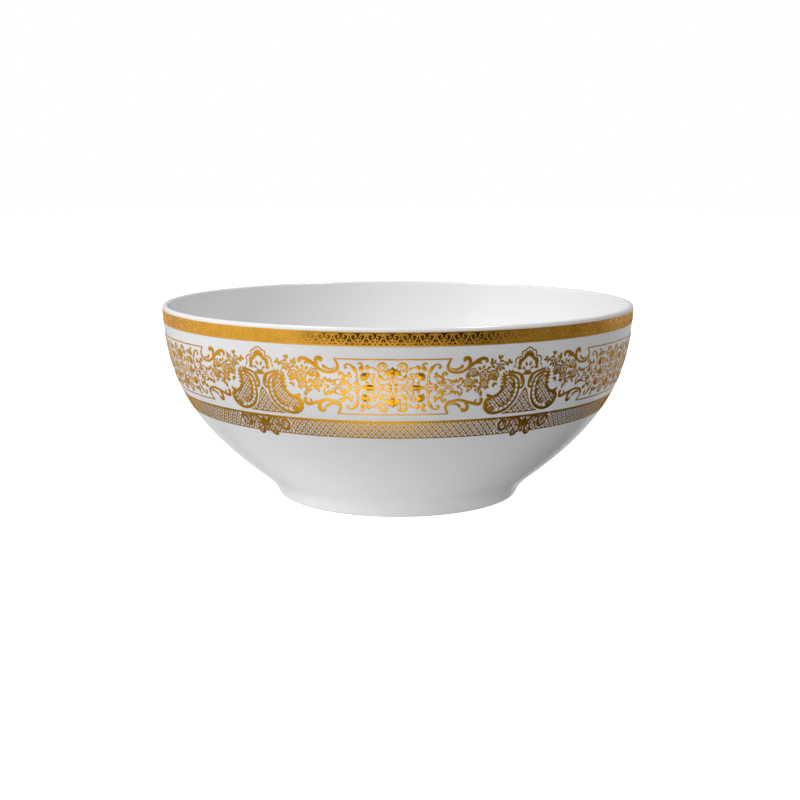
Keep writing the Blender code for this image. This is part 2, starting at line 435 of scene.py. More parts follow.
def drawStroke(pen, points, width, ends=(0.25, 0.25), straight=False):
    count = len(points)
    if isinstance(width, (int, float)):
        widths = [width * ends[0]] + [width] * (count - 2) + [width * ends[1]]
    else:
        widths = np.interp(np.linspace(0, 1, count), np.linspace(0, 1, len(width)), width)
    spline = pen["sheet"].splines.new("POLY" if straight else "BEZIER")
    knots = spline.points if straight else spline.bezier_points
    knots.add(count - 1)
    spline.radius_interpolation = "CARDINAL"
    for knot, (x, y), size in zip(knots, points, widths):
        x, y = pen["flip"][0] * x + pen["shift"][0], pen["flip"][1] * y + pen["shift"][1]
        knot.co = (x, y, 0.0, 1.0) if straight else (x, y, 0.0)
        knot.radius = size / 2 * printing["weight"]
        if not straight:
            knot.handle_left_type = knot.handle_right_type = "AUTO"
    return spline


def drawLine(pen, start, end, width, step=3.0):
    start, end = Vector(start), Vector(end)
    count = max(1, math.ceil((end - start).length / step))
    points = [start.lerp(end, i / count) for i in range(count + 1)]
    drawStroke(pen, points, width, ends=(1, 1), straight=True)


def turnedBy(centre, distance, degrees):
    angle = math.radians(degrees)
    return centre[0] + distance * math.cos(angle), centre[1] + distance * math.sin(angle)


def drawLeaf(pen, base, tip, width, bend=0.0):
    base, tip = Vector(base), Vector(tip)
    sideways = Vector((base.y - tip.y, tip.x - base.x)) * bend
    points = [base.lerp(tip, s) + sideways * 4 * s * (1 - s) for s in (0.0, 0.25, 0.55, 0.82, 1.0)]
    drawStroke(pen, points, [width * k for k in (0.22, 0.78, 1.0, 0.62, 0.12)])


def drawFan(pen, base, direction, spread, count, length, width):
    for i in range(count):
        share = i / (count - 1) * 2 - 1 if count > 1 else 0.0
        reach = length * (1 - 0.22 * abs(share))
        tip = turnedBy(base, reach, direction + spread / 2 * share)
        drawLeaf(pen, base, tip, width, bend=-0.12 * share)


def drawArc(pen, centre, radius, start, end, width, ends=(0.5, 0.5)):
    count = max(3, math.ceil(abs(end - start) / 45) + 1)
    points = [turnedBy(centre, radius, start + (end - start) * i / (count - 1)) for i in range(count)]
    drawStroke(pen, points, width, ends)


def drawDot(pen, centre, radius):
    x, y = centre
    points = [(x - radius, y), (x - 0.5 * radius, y), (x + 0.5 * radius, y), (x + radius, y)]
    drawStroke(pen, points, [0.7 * radius, 1.9 * radius, 1.9 * radius, 0.7 * radius], straight=True)


def drawSpeck(pen, centre, size):
    x, y = centre
    drawStroke(pen, [(x - size / 2, y - size / 2), (x + size / 2, y + size / 2)], size, (1, 1), True)


def drawRose(pen, centre, radius, petals=5, turn=0.0):
    for i in range(petals):
        facing = turn + 360 * i / petals
        heart = turnedBy(centre, 0.60 * radius, facing)
        drawArc(pen, heart, 0.42 * radius, facing - 118, facing + 118, 0.23 * radius, (0.9, 0.9))
        drawLeaf(pen, turnedBy(centre, 0.30 * radius, facing), turnedBy(centre, 0.75 * radius, facing),
                 0.20 * radius)
    drawDot(pen, centre, 0.26 * radius)


def insideOutline(outline):
    edges = list(zip(outline, outline[1:] + outline[:1]))

    def isInside(x, y):
        crossings = [(a, b) for a, b in edges if (a[1] > y) != (b[1] > y)]
        return sum(x < a[0] + (y - a[1]) / (b[1] - a[1]) * (b[0] - a[0]) for a, b in crossings) % 2 == 1

    return isInside


lattice = {"wide": 3.45, "tall": 3.75, "line": 0.52, "dot": 0.66, "sample": 0.25, "step": 2.5, "margin": 0.5}


# Crossed slanting lines with a speck in each cell, kept inside an outline.
def drawLattice(pen, outline):
    isInside = insideOutline(outline)
    wide, tall, sample = lattice["wide"], lattice["tall"], lattice["sample"]
    xs, ys = [p[0] for p in outline], [p[1] for p in outline]
    left, right, low, high = min(xs), max(xs), min(ys), max(ys)
    samples = math.ceil((high - low) / sample)
    reach = (high - low) * wide / tall
    for lean in (-1, 1):
        for i in range(math.floor((left - reach) / wide), math.ceil((right + reach) / wide) + 1):
            run = []
            for j in range(samples + 2):
                y = low + j * sample
                x = i * wide + lean * (y - low) * wide / tall
                if j <= samples and isInside(x, y):
                    run.append((x, y))
                    continue
                if len(run) > 2:
                    drawLine(pen, run[0], run[-1], lattice["line"], lattice["step"])
                run = []
    for i in range(math.floor(left / wide * 2), math.ceil(right / wide * 2) + 1):
        for j in range(math.ceil((high - low) / tall * 2) + 1):
            x, y = i * wide / 2, low + j * tall / 2
            margin = lattice["margin"]
            near = [(x - margin, y), (x + margin, y), (x, y - margin), (x, y + margin)]
            if (i + j) % 2 == 1 and all(isInside(*p) for p in near):
                drawSpeck(pen, (x, y), lattice["dot"])


# The flat strokes become closed solids, and each point goes to its height and angle on the wall.
def laySheet(sheet, lift=0.0):
    flat = bpy.data.objects.new(sheet.name, sheet)
    bpy.context.scene.collection.objects.link(flat)
    settled = bpy.context.evaluated_depsgraph_get()
    mesh = bpy.data.meshes.new_from_object(flat.evaluated_get(settled), depsgraph=settled)
    bpy.data.objects.remove(flat)
    shape = bmesh.new()
    shape.from_mesh(mesh)
    bpy.data.meshes.remove(mesh)
    bmesh.ops.remove_doubles(shape, verts=shape.verts, dist=1e-4)
    bmesh.ops.recalc_face_normals(shape, faces=shape.faces)
    flatPoints = np.array([v.co for v in shape.verts])
    angle = flatPoints[:, 0] / printing["radius"]
    height = flatPoints[:, 1] + printing["raise"]
    rise = flatPoints[:, 2]
    stands = np.where(rise < 0, -printing["sink"], printing["film"] + lift + rise)
    radius = np.interp(height, wallHeights, wallRadii) + stands * np.interp(height, wallHeights, wallOut)
    level = height + stands * np.interp(height, wallHeights, wallUp)
    laid = np.stack([radius * np.sin(angle), -radius * np.cos(angle), level], axis=1) * mm
    for vert, place in zip(shape.verts, laid):
        vert.co = place
    return shape


def repeatPrint(name, node, sheet, turns, material, lift=0.0, first=1):
    shape = laySheet(sheet, lift)
    print(name, "drawn:", len(shape.faces), "faces each")
    for i, angle in enumerate(turns):
        copied = shape.copy()
        bmesh.ops.transform(copied, matrix=Matrix.Rotation(angle, 4, "Z"), verts=copied.verts)
        piece = addPiece(f"{name}_{first + i}", copied, material)
        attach(piece, "root")
        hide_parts(f"{node}_{first + i}")
    shape.free()


# The rim band: a burnished ground with edge lines, and a chain of hearts in raised satin gold

rimBand = {"low": 94.4, "high": 101.0, "groundLift": 0.03, "reliefLift": 0.03, "hearts": 102,
           "edgeLines": ((94.66, 0.72), (100.55, 0.38)), "segments": 288}


def wallPoint(height, stands):
    radius = np.interp(height, wallHeights, wallRadii) + stands * np.interp(height, wallHeights, wallOut)
    level = height + stands * np.interp(height, wallHeights, wallUp)
    return Vector((radius, level)) * mm


def makeRimGround():
    levels = np.linspace(rimBand["low"], rimBand["high"], 7)
    outside = [wallPoint(level, rimBand["groundLift"]) for level in levels]
    inside = [wallPoint(level, -printing["sink"]) for level in reversed(levels)]
    piece = spinProfile("rim_band_ground", outside + inside, rimBand["segments"], golds["goldGround"],
                        closed=True)
    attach(piece, "root")
    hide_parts("rim_band")


def drawHeart(pen, pitch):
    for side in (-1, 1):
        half = newPen(pen["sheet"], (side, 1), pen["shift"])
        drawStroke(half, [(0.5, 95.1), (1.7, 96.2), (2.7, 97.5), (3.15, 98.6), (2.7, 99.5), (1.8, 99.75),
                          (0.95, 99.3), (0.85, 98.5), (1.5, 98.2)],
                   [1.2, 0.85, 0.54, 0.48, 0.48, 0.48, 0.48, 0.52, 0.65])
        drawLeaf(half, (0.0, 97.15), (1.75, 97.15), 0.56)
        drawStroke(half, [(3.2, 95.0), (3.15, 95.7), (2.5, 96.0), (1.9, 95.6)], 0.29)
        drawLeaf(half, (pitch / 2 - 0.15, 95.6), (pitch / 2 - 1.25, 97.1), 0.42, bend=0.2)
        drawLeaf(half, (pitch / 2 - 0.1, 98.9), (pitch / 2 - 0.9, 100.2), 0.45, bend=-0.2)
    drawLeaf(pen, (0.0, 97.0), (0.0, 98.3), 0.75)
    drawLeaf(pen, (0.0, 97.3), (0.0, 95.6), 0.70)
    drawLeaf(pen, (pitch / 2, 95.0), (pitch / 2, 97.0), 0.42)
    drawLeaf(pen, (pitch / 2, 98.8), (pitch / 2, 100.3), 0.62)
    drawSpeck(pen, (pitch / 2, 97.75), 0.36)


def makeRimRelief():
    sheet = newSheet("rimRelief", smoothness=2)
    around = math.tau * printing["radius"]
    pitch = around / rimBand["hearts"]
    for i in range(rimBand["hearts"]):
        drawHeart(newPen(sheet, shift=(i * pitch, 0.0)), pitch)
    for level, width in rimBand["edgeLines"]:
        drawLine(newPen(sheet), (0.0, level), (around + 0.2, level), width, step=3.5)
    piece = addPiece("rim_band_relief", laySheet(sheet, rimBand["reliefLift"]), golds["goldRelief"])
    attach(piece, "root")
    print("rim relief:", len(piece.data.polygons), "faces")


makeRimGround()
makeRimRelief()


# The cartouche: a framed panel of arabesques, the same in all four quarters but for the frame's tails

cartouche = {
    "half": 25.9, "frame": 13.05, "frameLine": 0.50, "fine": 0.42, "hair": 0.32,
    "corner": [(25.7, 13.0), (24.7, 11.6), (24.1, 9.9), (24.5, 8.2), (25.9, 7.1), (27.8, 6.7)],
    "upperTail": [(30.0, 6.8), (32.0, 7.7), (34.0, 9.1), (36.0, 10.8), (38.0, 12.1), (40.0, 12.7),
                  (41.5, 12.4), (41.9, 11.5), (41.2, 10.9)],
    "upperTailWidths": [0.95, 1.05, 1.15, 1.25, 1.30, 1.30, 1.25, 1.2, 0.9],
    "upperCurl": [(32.6, 8.2), (33.9, 10.2), (34.1, 11.7), (33.5, 12.9), (32.4, 13.2), (31.5, 12.5),
                  (32.1, 11.8)],
    "lowerTail": [(29.5, 6.4), (31.5, 6.7), (33.5, 7.3), (35.5, 7.9), (37.3, 8.5), (38.9, 8.9), (40.2, 8.7),
                  (40.8, 7.7), (40.6, 6.6), (40.0, 7.0)],
    "lowerTailWidths": [1.0, 1.0, 1.0, 1.05, 1.1, 1.2, 1.3, 1.3, 1.3, 0.9],
    "lowerCurl": [(32.1, 6.7), (33.5, 8.1), (34.3, 9.6), (34.2, 11.0), (33.1, 11.7), (32.0, 11.2),
                  (32.1, 10.3)],
}


def drawCartoucheFrame(pen, upper):
    line, part = cartouche["frameLine"], "upper" if upper else "lower"
    drawLine(pen, (0.0, cartouche["frame"]), (cartouche["half"], cartouche["frame"]), line)
    drawStroke(pen, cartouche["corner"] + cartouche[part + "Tail"],
               [0.5, 0.8, 1.05, 1.1, 1.0, 0.95] + cartouche[part + "TailWidths"])
    drawStroke(pen, cartouche[part + "Curl"], [0.6, 1.15, 1.3, 1.4, 1.4, 1.2, 0.9])
    drawStroke(pen, [(25.4, 9.2), (26.4, 8.4), (27.9, 8.1), (29.3, 8.5), (30.6, 9.5), (31.0, 10.1)],
               [0.2, 0.55, 0.8, 0.95, 1.0, 0.6])
    if upper:
        drawStroke(pen, [(36.4, 10.2), (37.6, 10.8), (39.0, 10.8), (39.5, 10.1)], [0.3, 0.75, 0.8, 0.4])
    else:
        drawStroke(pen, [(37.6, 8.0), (38.1, 6.9), (38.4, 6.2)], [0.9, 0.85, 0.3])


def drawCartoucheQuarter(pen):
    fine, hair = cartouche["fine"], cartouche["hair"]
    # the boss, and what springs from it
    drawLeaf(pen, (0.45, 0.35), (2.05, 1.55), 1.30)
    drawArc(pen, (0.0, 0.0), 2.35, 14, 76, hair)
    drawStroke(pen, [(1.0, 5.3), (1.6, 4.3), (2.8, 3.75), (4.2, 3.9), (5.1, 4.7), (5.9, 5.9)],
               [0.3, 0.5, 0.55, 0.95, 1.3, 0.45])
    drawStroke(pen, [(0.5, 4.6), (0.9, 3.4), (1.7, 2.4), (3.0, 1.5), (4.5, 1.2), (6.0, 1.75), (6.5, 2.8),
                     (5.9, 3.5)], [0.3, 0.4, 0.42, 0.45, 0.5, 0.65, 0.7, 0.4])
    drawStroke(pen, [(2.4, 0.5), (4.0, 0.35), (5.6, 0.45), (7.2, 0.35), (8.6, 0.3)], hair)
    drawStroke(pen, [(7.3, 1.4), (8.4, 1.5), (9.1, 2.4), (8.9, 3.3), (8.3, 3.9)],
               [0.4, 0.75, 0.8, 0.65, 0.45])
    # the volute inside its ring
    drawStroke(pen, [(10.0, 9.5), (8.0, 9.0), (6.6, 7.9), (6.0, 6.3), (6.5, 4.8), (7.8, 3.9), (9.4, 4.1),
                     (10.1, 5.2), (9.5, 6.3), (8.3, 6.4), (7.6, 5.6), (8.0, 4.8), (8.7, 4.9)],
               [0.35, 0.5, 0.5, 0.45, 0.45, 0.45, 0.45, 0.45, 0.45, 0.45, 0.45, 0.5, 0.7])
    drawDot(pen, (8.6, 5.2), 0.42)
    drawLeaf(pen, (8.4, 9.2), (6.9, 8.1), 0.85)
    # the volute beside the palmette
    drawStroke(pen, [(2.4, 9.0), (2.5, 10.2), (3.5, 11.1), (4.9, 11.1), (6.0, 10.1), (6.0, 8.9), (4.9, 8.3),
                     (3.6, 8.7), (3.3, 9.5), (4.0, 10.0), (4.6, 9.6)],
               [0.35, 0.6, 0.8, 0.95, 0.95, 0.75, 0.5, 0.45, 0.45, 0.45, 0.45])
    drawStroke(pen, [(3.4, 7.9), (5.0, 7.5), (6.8, 8.1)], fine)
    # the two buds and the lobed leaf
    drawFan(pen, (12.1, 9.2), 180, 78, 3, 2.6, 1.15)
    drawDot(pen, (11.6, 9.2), 0.55)
    drawFan(pen, (13.6, 9.7), -90, 80, 3, 2.5, 1.20)
    drawStroke(pen, [(13.5, 9.4), (13.3, 10.4), (13.9, 11.2), (14.9, 11.1), (15.1, 10.5)],
               [1.1, 0.8, 0.65, 0.55, 0.4])
    drawDot(pen, (12.4, 5.1), 1.30)
    for tip in ((10.1, 6.8), (11.6, 7.2), (13.2, 7.0), (14.4, 5.9), (14.5, 4.5), (13.9, 3.0), (12.3, 3.1),
                (10.7, 3.8)):
        drawLeaf(pen, (12.3, 5.1), tip, 1.30)
    # the comma leaf and the dart's tail
    drawStroke(pen, [(16.0, 4.4), (15.8, 5.8), (16.0, 7.0), (16.8, 8.5), (17.9, 9.9), (19.3, 10.7),
                     (20.6, 10.3), (20.8, 9.3), (20.0, 8.9)],
               [0.4, 0.42, 0.95, 1.35, 0.9, 0.6, 0.65, 0.85, 0.9])
    drawStroke(pen, [(13.2, 0.3), (14.8, 0.9), (16.2, 1.9)], [0.4, 0.5, 0.85])
    drawLeaf(pen, (16.0, 1.7), (16.2, 3.5), 0.80)
    drawLeaf(pen, (15.7, 1.8), (17.9, 1.6), 0.80)
    drawStroke(pen, [(16.3, 2.6), (16.2, 3.6), (16.1, 4.4)], hair)
    drawDot(pen, (16.1, 4.7), 0.38)
    drawStroke(pen, [(14.4, 1.0), (15.3, 2.8), (15.1, 4.6), (15.5, 6.2)], hair)
    # the forked scroll
    drawStroke(pen, [(20.6, 0.9), (21.6, 2.0), (22.1, 3.4), (21.9, 5.0), (22.1, 6.3), (22.9, 6.8),
                     (23.6, 6.2), (23.2, 5.5)], [0.5, 1.15, 1.0, 0.85, 0.8, 0.85, 0.95, 0.85])
    drawStroke(pen, [(21.9, 3.9), (20.8, 5.0), (19.6, 5.4), (18.5, 5.0), (18.3, 4.1)],
               [0.5, 0.85, 0.95, 0.85, 0.55])
    drawLeaf(pen, (18.6, 5.2), (19.3, 7.2), 1.05)
    drawLeaf(pen, (21.6, 1.9), (24.0, 1.6), 0.85, bend=0.15)
    drawLeaf(pen, (21.2, 1.8), (19.4, 2.4), 0.80)
    drawStroke(pen, [(21.6, 3.0), (20.2, 3.1), (19.3, 3.8), (19.9, 4.4)], hair)
    # the sprigs that reach out of the open side
    drawStroke(pen, [(22.6, 3.6), (24.6, 3.4), (26.4, 2.6), (27.8, 2.4), (28.9, 3.0)],
               [0.4, 0.45, 0.95, 0.85, 0.4])
    drawLeaf(pen, (26.7, 2.6), (25.2, 1.2), 0.85)
    drawLeaf(pen, (27.5, 2.4), (28.5, 3.9), 0.75)
    drawStroke(pen, [(30.4, 4.3), (31.1, 2.8), (30.8, 1.4), (29.6, 0.5), (28.6, 0.15)],
               [0.6, 0.65, 0.55, 0.55, 0.8])
    drawStroke(pen, [(30.3, 4.2), (29.4, 2.8), (28.8, 1.7)], [0.95, 0.85, 0.35])
    drawStroke(pen, [(20.8, 0.8), (22.8, 0.95), (24.8, 0.8), (26.6, 0.1)], hair)
    drawStroke(pen, [(22.0, 0.5), (24.4, 0.3), (26.8, 0.9), (28.0, 1.5)], hair)


# What stands on the upright middle line, for the upper half.
def drawCartoucheUpright(pen):
    drawLine(pen, (0.0, 3.6), (0.0, 5.5), 0.70)
    drawDot(pen, (0.0, 2.6), 0.44)
    drawDot(pen, (0.0, 6.2), 1.05)
    drawLeaf(pen, (0.0, 6.2), (0.0, 9.8), 1.80)
    for side in (-1, 1):
        half = newPen(pen["sheet"], (side * pen["flip"][0], pen["flip"][1]), pen["shift"])
        drawLeaf(half, (0.4, 6.2), (2.0, 9.0), 1.35, bend=-0.08)
        drawLeaf(half, (0.8, 6.2), (3.5, 8.2), 1.25, bend=-0.15)
        drawLeaf(half, (0.8, 5.8), (4.1, 5.8), 1.05, bend=0.08)


# What stands on the level middle line, for the right half.
def drawCartoucheLevel(pen):
    drawDot(pen, (4.7, 0.0), 0.40)
    drawStroke(pen, [(7.7, 0.0), (8.8, 0.0), (10.2, 0.0), (11.8, 0.0), (13.8, 0.0)],
               [0.4, 1.5, 1.9, 1.5, 0.7])
    for side in (-1, 1):
        half = newPen(pen["sheet"], (pen["flip"][0], side), pen["shift"])
        drawLeaf(half, (9.4, 0.2), (12.2, 1.4), 1.10, bend=-0.12)
        drawLeaf(half, (11.0, 0.7), (11.5, 3.0), 1.10)
        drawLeaf(half, (18.3, 0.0), (19.4, 1.8), 1.00)
    drawLine(pen, (14.4, 0.0), (18.2, 0.0), 0.40)
    drawDot(pen, (16.0, 0.0), 0.36)
    drawLeaf(pen, (17.8, 0.0), (20.4, 0.0), 1.15)


def makeCartouches():
    sheet = newSheet("cartouche")
    middle = (0.0, printing["middle"])
    for acrossFlip in (-1, 1):
        drawCartoucheLevel(newPen(sheet, (acrossFlip, 1), middle))
        for upFlip in (-1, 1):
            pen = newPen(sheet, (acrossFlip, upFlip), middle)
            drawCartoucheFrame(pen, upFlip > 0)
            drawCartoucheQuarter(pen)
    for upFlip in (-1, 1):
        drawCartoucheUpright(newPen(sheet, (1, upFlip), middle))
    repeatPrint("cartouche_print", "cartouche", sheet, sixAround, golds["goldDrawing"])


makeCartouches()


# The crest: a scalloped shell over two paisley scrolls filled with trellis

crest = {
    "scallops": [[(0.0, 92.0), (1.3, 91.5), (2.3, 90.6), (3.4, 90.25), (3.95, 89.4), (3.6, 88.3)],
                 [(3.5, 87.8), (5.2, 87.75), (6.5, 87.1), (6.95, 86.1), (6.5, 84.8)],
                 [(6.5, 84.2), (7.3, 83.6), (7.3, 82.8)]],
    "petals": [((0.0, 87.9), (0.0, 90.9)), ((0.5, 87.7), (1.5, 90.4)), ((0.9, 87.3), (2.6, 89.3)),
               ((1.5, 86.9), (3.0, 87.9)), ((2.4, 86.0), (4.0, 87.1)), ((3.2, 85.6), (5.3, 86.6)),
               ((3.3, 85.0), (5.7, 85.2)), ((3.5, 84.3), (5.5, 83.9)), ((3.3, 82.2), (5.8, 83.0))],
    "outer": [(10.6, 79.8), (8.7, 79.5), (6.4, 78.8), (4.8, 77.4), (4.0, 75.6), (3.75, 73.3), (3.8, 71.0),
              (4.2, 68.7), (5.3, 66.5), (6.9, 64.4), (9.1, 62.8), (11.7, 61.8), (14.4, 61.5), (16.9, 62.1),
              (18.9, 63.5), (19.8, 65.4), (19.9, 67.1), (19.2, 68.3), (18.2, 68.7), (17.2, 68.2)],
    "outerWidths": [0.9, 1.0, 1.0, 0.95, 0.9, 0.9, 0.95, 1.0, 1.05, 1.1, 1.15, 1.2, 1.25, 1.35, 1.4, 1.4,
                    1.3, 1.2, 1.1, 0.9],
    "inner": [(9.6, 78.4), (8.2, 78.0), (6.9, 76.9), (6.1, 75.2), (5.9, 73.2), (6.2, 71.0), (6.7, 69.0),
              (7.6, 67.3), (8.9, 65.8), (10.5, 64.7), (12.5, 64.1)],
    "edge": [(19.6, 71.0), (18.5, 70.1), (16.9, 69.6), (15.4, 70.0), (14.1, 70.8), (12.9, 72.3),
             (11.9, 73.7), (11.4, 75.0), (11.5, 76.3), (11.7, 77.6), (11.6, 78.9), (11.1, 80.1)],
    "edgeWidths": [1.0, 1.3, 1.25, 1.1, 1.0, 0.95, 0.9, 1.0, 1.2, 1.4, 1.4, 1.1],
    "gusset": [(0.0, 73.6), (1.2, 71.4), (2.3, 69.0), (3.3, 66.7), (4.8, 64.4), (6.8, 62.6), (9.6, 61.0)],
}


def drawShellHalf(pen):
    for scallop in crest["scallops"]:
        drawStroke(pen, scallop, 0.55, ends=(0.9, 0.8))
    for base, tip in crest["petals"]:
        drawLeaf(pen, base, tip, 1.30)
    drawStroke(pen, [(0.3, 89.2), (1.5, 88.6), (2.1, 87.4), (2.7, 86.4), (4.2, 86.0), (4.6, 84.7),
                     (4.4, 83.6)], [0.9, 1.0, 0.9, 0.9, 1.0, 1.0, 0.6])
    drawLeaf(pen, (0.4, 83.3), (1.5, 85.5), 1.00, bend=-0.08)
    drawLeaf(pen, (1.4, 81.7), (3.0, 83.1), 0.95)
    drawLeaf(pen, (0.8, 79.8), (1.3, 81.6), 1.00)
    drawStroke(pen, [(2.6, 80.0), (1.3, 79.6), (0.0, 79.5)], [0.5, 0.8, 0.7])


def drawPaisley(pen):
    outer, inner, edge = crest["outer"], crest["inner"], crest["edge"]
    drawStroke(pen, outer, crest["outerWidths"])
    drawStroke(pen, inner, [0.5, 0.75, 0.75, 0.7, 0.8, 0.85, 0.85, 0.7, 0.35])
    drawStroke(pen, edge, crest["edgeWidths"])
    for knot in inner[1:]:
        drawStroke(pen, [knot, min(outer, key=lambda p: math.dist(p, knot))], 0.40, (1, 1), True)
    drawLattice(pen, inner[::-1] + [(11.0, 79.4)] + edge[:1:-1] + [(18.2, 69.0), (20.2, 67.4), (19.9, 65.4),
                                                                   (18.6, 63.9), (16.6, 62.8), (14.4, 62.6)])
    for base, tip, width in (((6.3, 73.6), (8.2, 75.6), 1.3), ((6.4, 70.6), (8.1, 71.3), 1.0),
                             ((8.3, 66.4), (9.2, 68.6), 1.1), ((9.9, 65.2), (11.6, 67.2), 1.1),
                             ((12.0, 64.2), (13.4, 65.9), 0.9), ((19.7, 65.0), (18.5, 67.0), 1.0),
                             ((18.6, 63.7), (16.2, 65.2), 1.1), ((16.8, 62.9), (14.4, 64.0), 0.9),
                             ((11.8, 74.0), (13.7, 74.3), 1.2)):
        drawLeaf(pen, base, tip, width, bend=0.1)
    for base, tip in (((12.0, 75.9), (13.4, 76.3)), ((12.2, 77.4), (13.7, 77.9)),
                      ((12.1, 78.8), (13.5, 79.6)), ((11.7, 79.8), (12.9, 81.1)),
                      ((10.9, 80.5), (11.6, 82.0)), ((9.6, 80.9), (9.7, 82.3)), ((8.2, 80.9), (8.0, 82.2))):
        drawLeaf(pen, base, tip, 0.80)


def drawCrestHook(pen):
    drawStroke(pen, [(10.2, 81.0), (8.3, 80.8), (6.2, 80.5), (4.0, 79.7), (2.6, 78.6), (1.9, 77.1),
                     (1.4, 75.3), (1.7, 73.8), (2.7, 73.1), (3.6, 73.6)],
               [0.8, 0.95, 0.95, 1.0, 1.1, 1.15, 1.05, 0.95, 0.9, 0.6])
    drawDot(pen, (2.7, 75.3), 0.42)
    drawStroke(pen, [(3.7, 78.6), (2.9, 77.2), (2.6, 75.6)], [0.3, 0.55, 0.5])


def makeCrests():
    sheet = newSheet("crest")
    for side in (-1, 1):
        half = newPen(sheet, (side, 1))
        drawShellHalf(half)
        drawPaisley(half)
        drawCrestHook(half)
    drawLeaf(newPen(sheet), (0.0, 81.6), (0.0, 79.0), 0.9)
    repeatPrint("shell_crest_print", "shell_crest", sheet, betweenSix, golds["goldDrawing"])


def makeGussets():
    sheet = newSheet("gusset")
    half = crest["gusset"]
    outline = half + [(-x, y) for x, y in reversed(half[1:])]
    drawLattice(newPen(sheet), outline)
    for side in (-1, 1):
        drawStroke(newPen(sheet, (side, 1)), half, 0.34)
    drawLine(newPen(sheet), (-9.9, 60.95), (9.9, 60.95), 0.50)
    repeatPrint("trellis_gusset_print", "trellis_gusset", sheet, betweenSix, golds["goldFine"])


makeCrests()
makeGussets()


# The flower spray beside a crest

spray = {
    "roses": [((17.1, 80.2), 2.35, 50), ((21.4, 80.2), 2.60, 20), ((27.2, 81.8), 2.0, 40),
              ((29.2, 77.4), 1.95, 10), ((21.8, 76.5), 1.95, 80)],
    "leaves": [((15.6, 79.1), (18.4, 80.3), 0.8), ((25.3, 79.8), (25.2, 82.6), 1.1),
               ((25.5, 80.0), (28.1, 80.1), 0.9), ((24.4, 76.7), (26.9, 78.5), 1.25),
               ((27.0, 76.1), (24.8, 74.9), 1.1), ((25.3, 77.4), (27.7, 76.2), 1.0),
               ((27.2, 75.8), (27.6, 73.5), 0.95), ((27.5, 75.4), (30.2, 74.5), 0.95),
               ((28.2, 74.1), (29.6, 72.4), 1.1), ((24.8, 73.7), (26.1, 72.8), 1.0),
               ((14.9, 78.9), (17.6, 78.6), 0.9), ((15.3, 77.2), (16.6, 78.5), 0.8),
               ((16.9, 77.4), (17.8, 78.7), 0.8), ((15.0, 75.7), (17.7, 75.9), 1.05),
               ((16.7, 74.2), (17.7, 75.8), 0.95), ((19.0, 74.4), (21.5, 74.7), 1.05),
               ((20.5, 73.4), (21.9, 75.1), 0.95), ((23.2, 75.4), (24.1, 72.8), 1.35),
               ((22.8, 73.2), (22.3, 70.2), 1.25), ((23.7, 73.2), (24.5, 71.8), 0.8),
               ((18.7, 83.9), (20.8, 82.9), 1.15), ((21.7, 85.0), (22.7, 83.1), 1.05),
               ((24.8, 84.4), (23.2, 82.9), 1.15), ((29.9, 81.9), (28.8, 79.9), 0.95),
               ((28.2, 79.7), (30.9, 80.1), 0.9), ((30.2, 75.9), (31.2, 75.0), 0.95),
               ((18.5, 78.0), (20.6, 77.1), 0.85), ((19.7, 75.9), (20.3, 77.8), 0.85),
               ((12.0, 84.9), (14.0, 84.4), 0.9), ((12.0, 82.3), (14.0, 83.6), 1.05),
               ((14.2, 81.5), (14.7, 83.5), 0.95), ((16.8, 82.9), (15.4, 83.8), 0.85),
               ((18.6, 84.9), (16.6, 83.6), 1.05), ((10.2, 84.0), (12.4, 85.9), 1.05),
               ((8.2, 85.3), (10.7, 85.6), 1.05), ((9.4, 87.0), (10.7, 86.1), 0.95),
               ((12.7, 86.4), (15.0, 86.2), 0.95), ((14.5, 86.9), (14.8, 88.2), 0.7),
               ((13.2, 89.1), (14.3, 87.8), 0.95), ((15.1, 89.3), (14.8, 87.4), 1.05),
               ((16.8, 87.2), (16.9, 85.5), 0.85), ((18.9, 88.1), (17.8, 86.3), 1.15),
               ((19.6, 86.1), (17.3, 85.6), 1.05)],
}


def drawSpray(pen):
    drawStroke(pen, [(22.8, 72.6), (23.6, 74.6), (23.2, 76.6), (22.4, 78.4)], 0.42)
    drawStroke(pen, [(23.6, 74.2), (25.6, 75.4), (27.2, 76.6)], 0.42)
    drawStroke(pen, [(20.6, 77.4), (18.6, 78.6), (16.6, 80.8), (15.0, 84.0)], 0.40)
    drawStroke(pen, [(10.4, 85.7), (12.6, 86.1), (14.6, 86.9)], 0.45)
    drawStroke(pen, [(15.0, 84.3), (16.0, 85.2), (17.6, 85.6)], 0.42)
    for centre, radius, turn in spray["roses"]:
        drawRose(pen, centre, radius, turn=turn)
    for base, tip, width in spray["leaves"]:
        drawLeaf(pen, base, tip, width, bend=0.08)
    drawDot(pen, (14.9, 84.3), 0.55)
    drawArc(pen, (14.9, 84.3), 1.15, 0, 360, 0.36, ends=(1, 1))


def makeSprays():
    for side, hand in ((-1, "left"), (1, "right")):
        sheet = newSheet("spray")
        drawSpray(newPen(sheet, (side, 1)))
        name = f"flower_spray_{hand}"
        repeatPrint(f"{name}_print", name, sheet, betweenSix, golds["goldDrawing"])


makeSprays()


# The trellis band, and the bows that clasp it; the front length of trellis is the longest

trellis = {"low": 50.2, "high": 58.9, "topLine": 0.80, "lowLine": 0.42, "claspHalf": 15.5, "claspGap": 0.15,
           "frontClasp": 67.4}


def drawTrellis(pen, left, right):
    low, high = trellis["low"], trellis["high"]
    outline = [(left, low), (right, low), (right, high - 0.3), (left, high - 0.3)]
    drawLattice(pen, outline)
    drawLine(pen, (left, high - trellis["topLine"] / 2), (right, high - trellis["topLine"] / 2),
             trellis["topLine"])
    drawLine(pen, (left, low), (right, low), trellis["lowLine"])


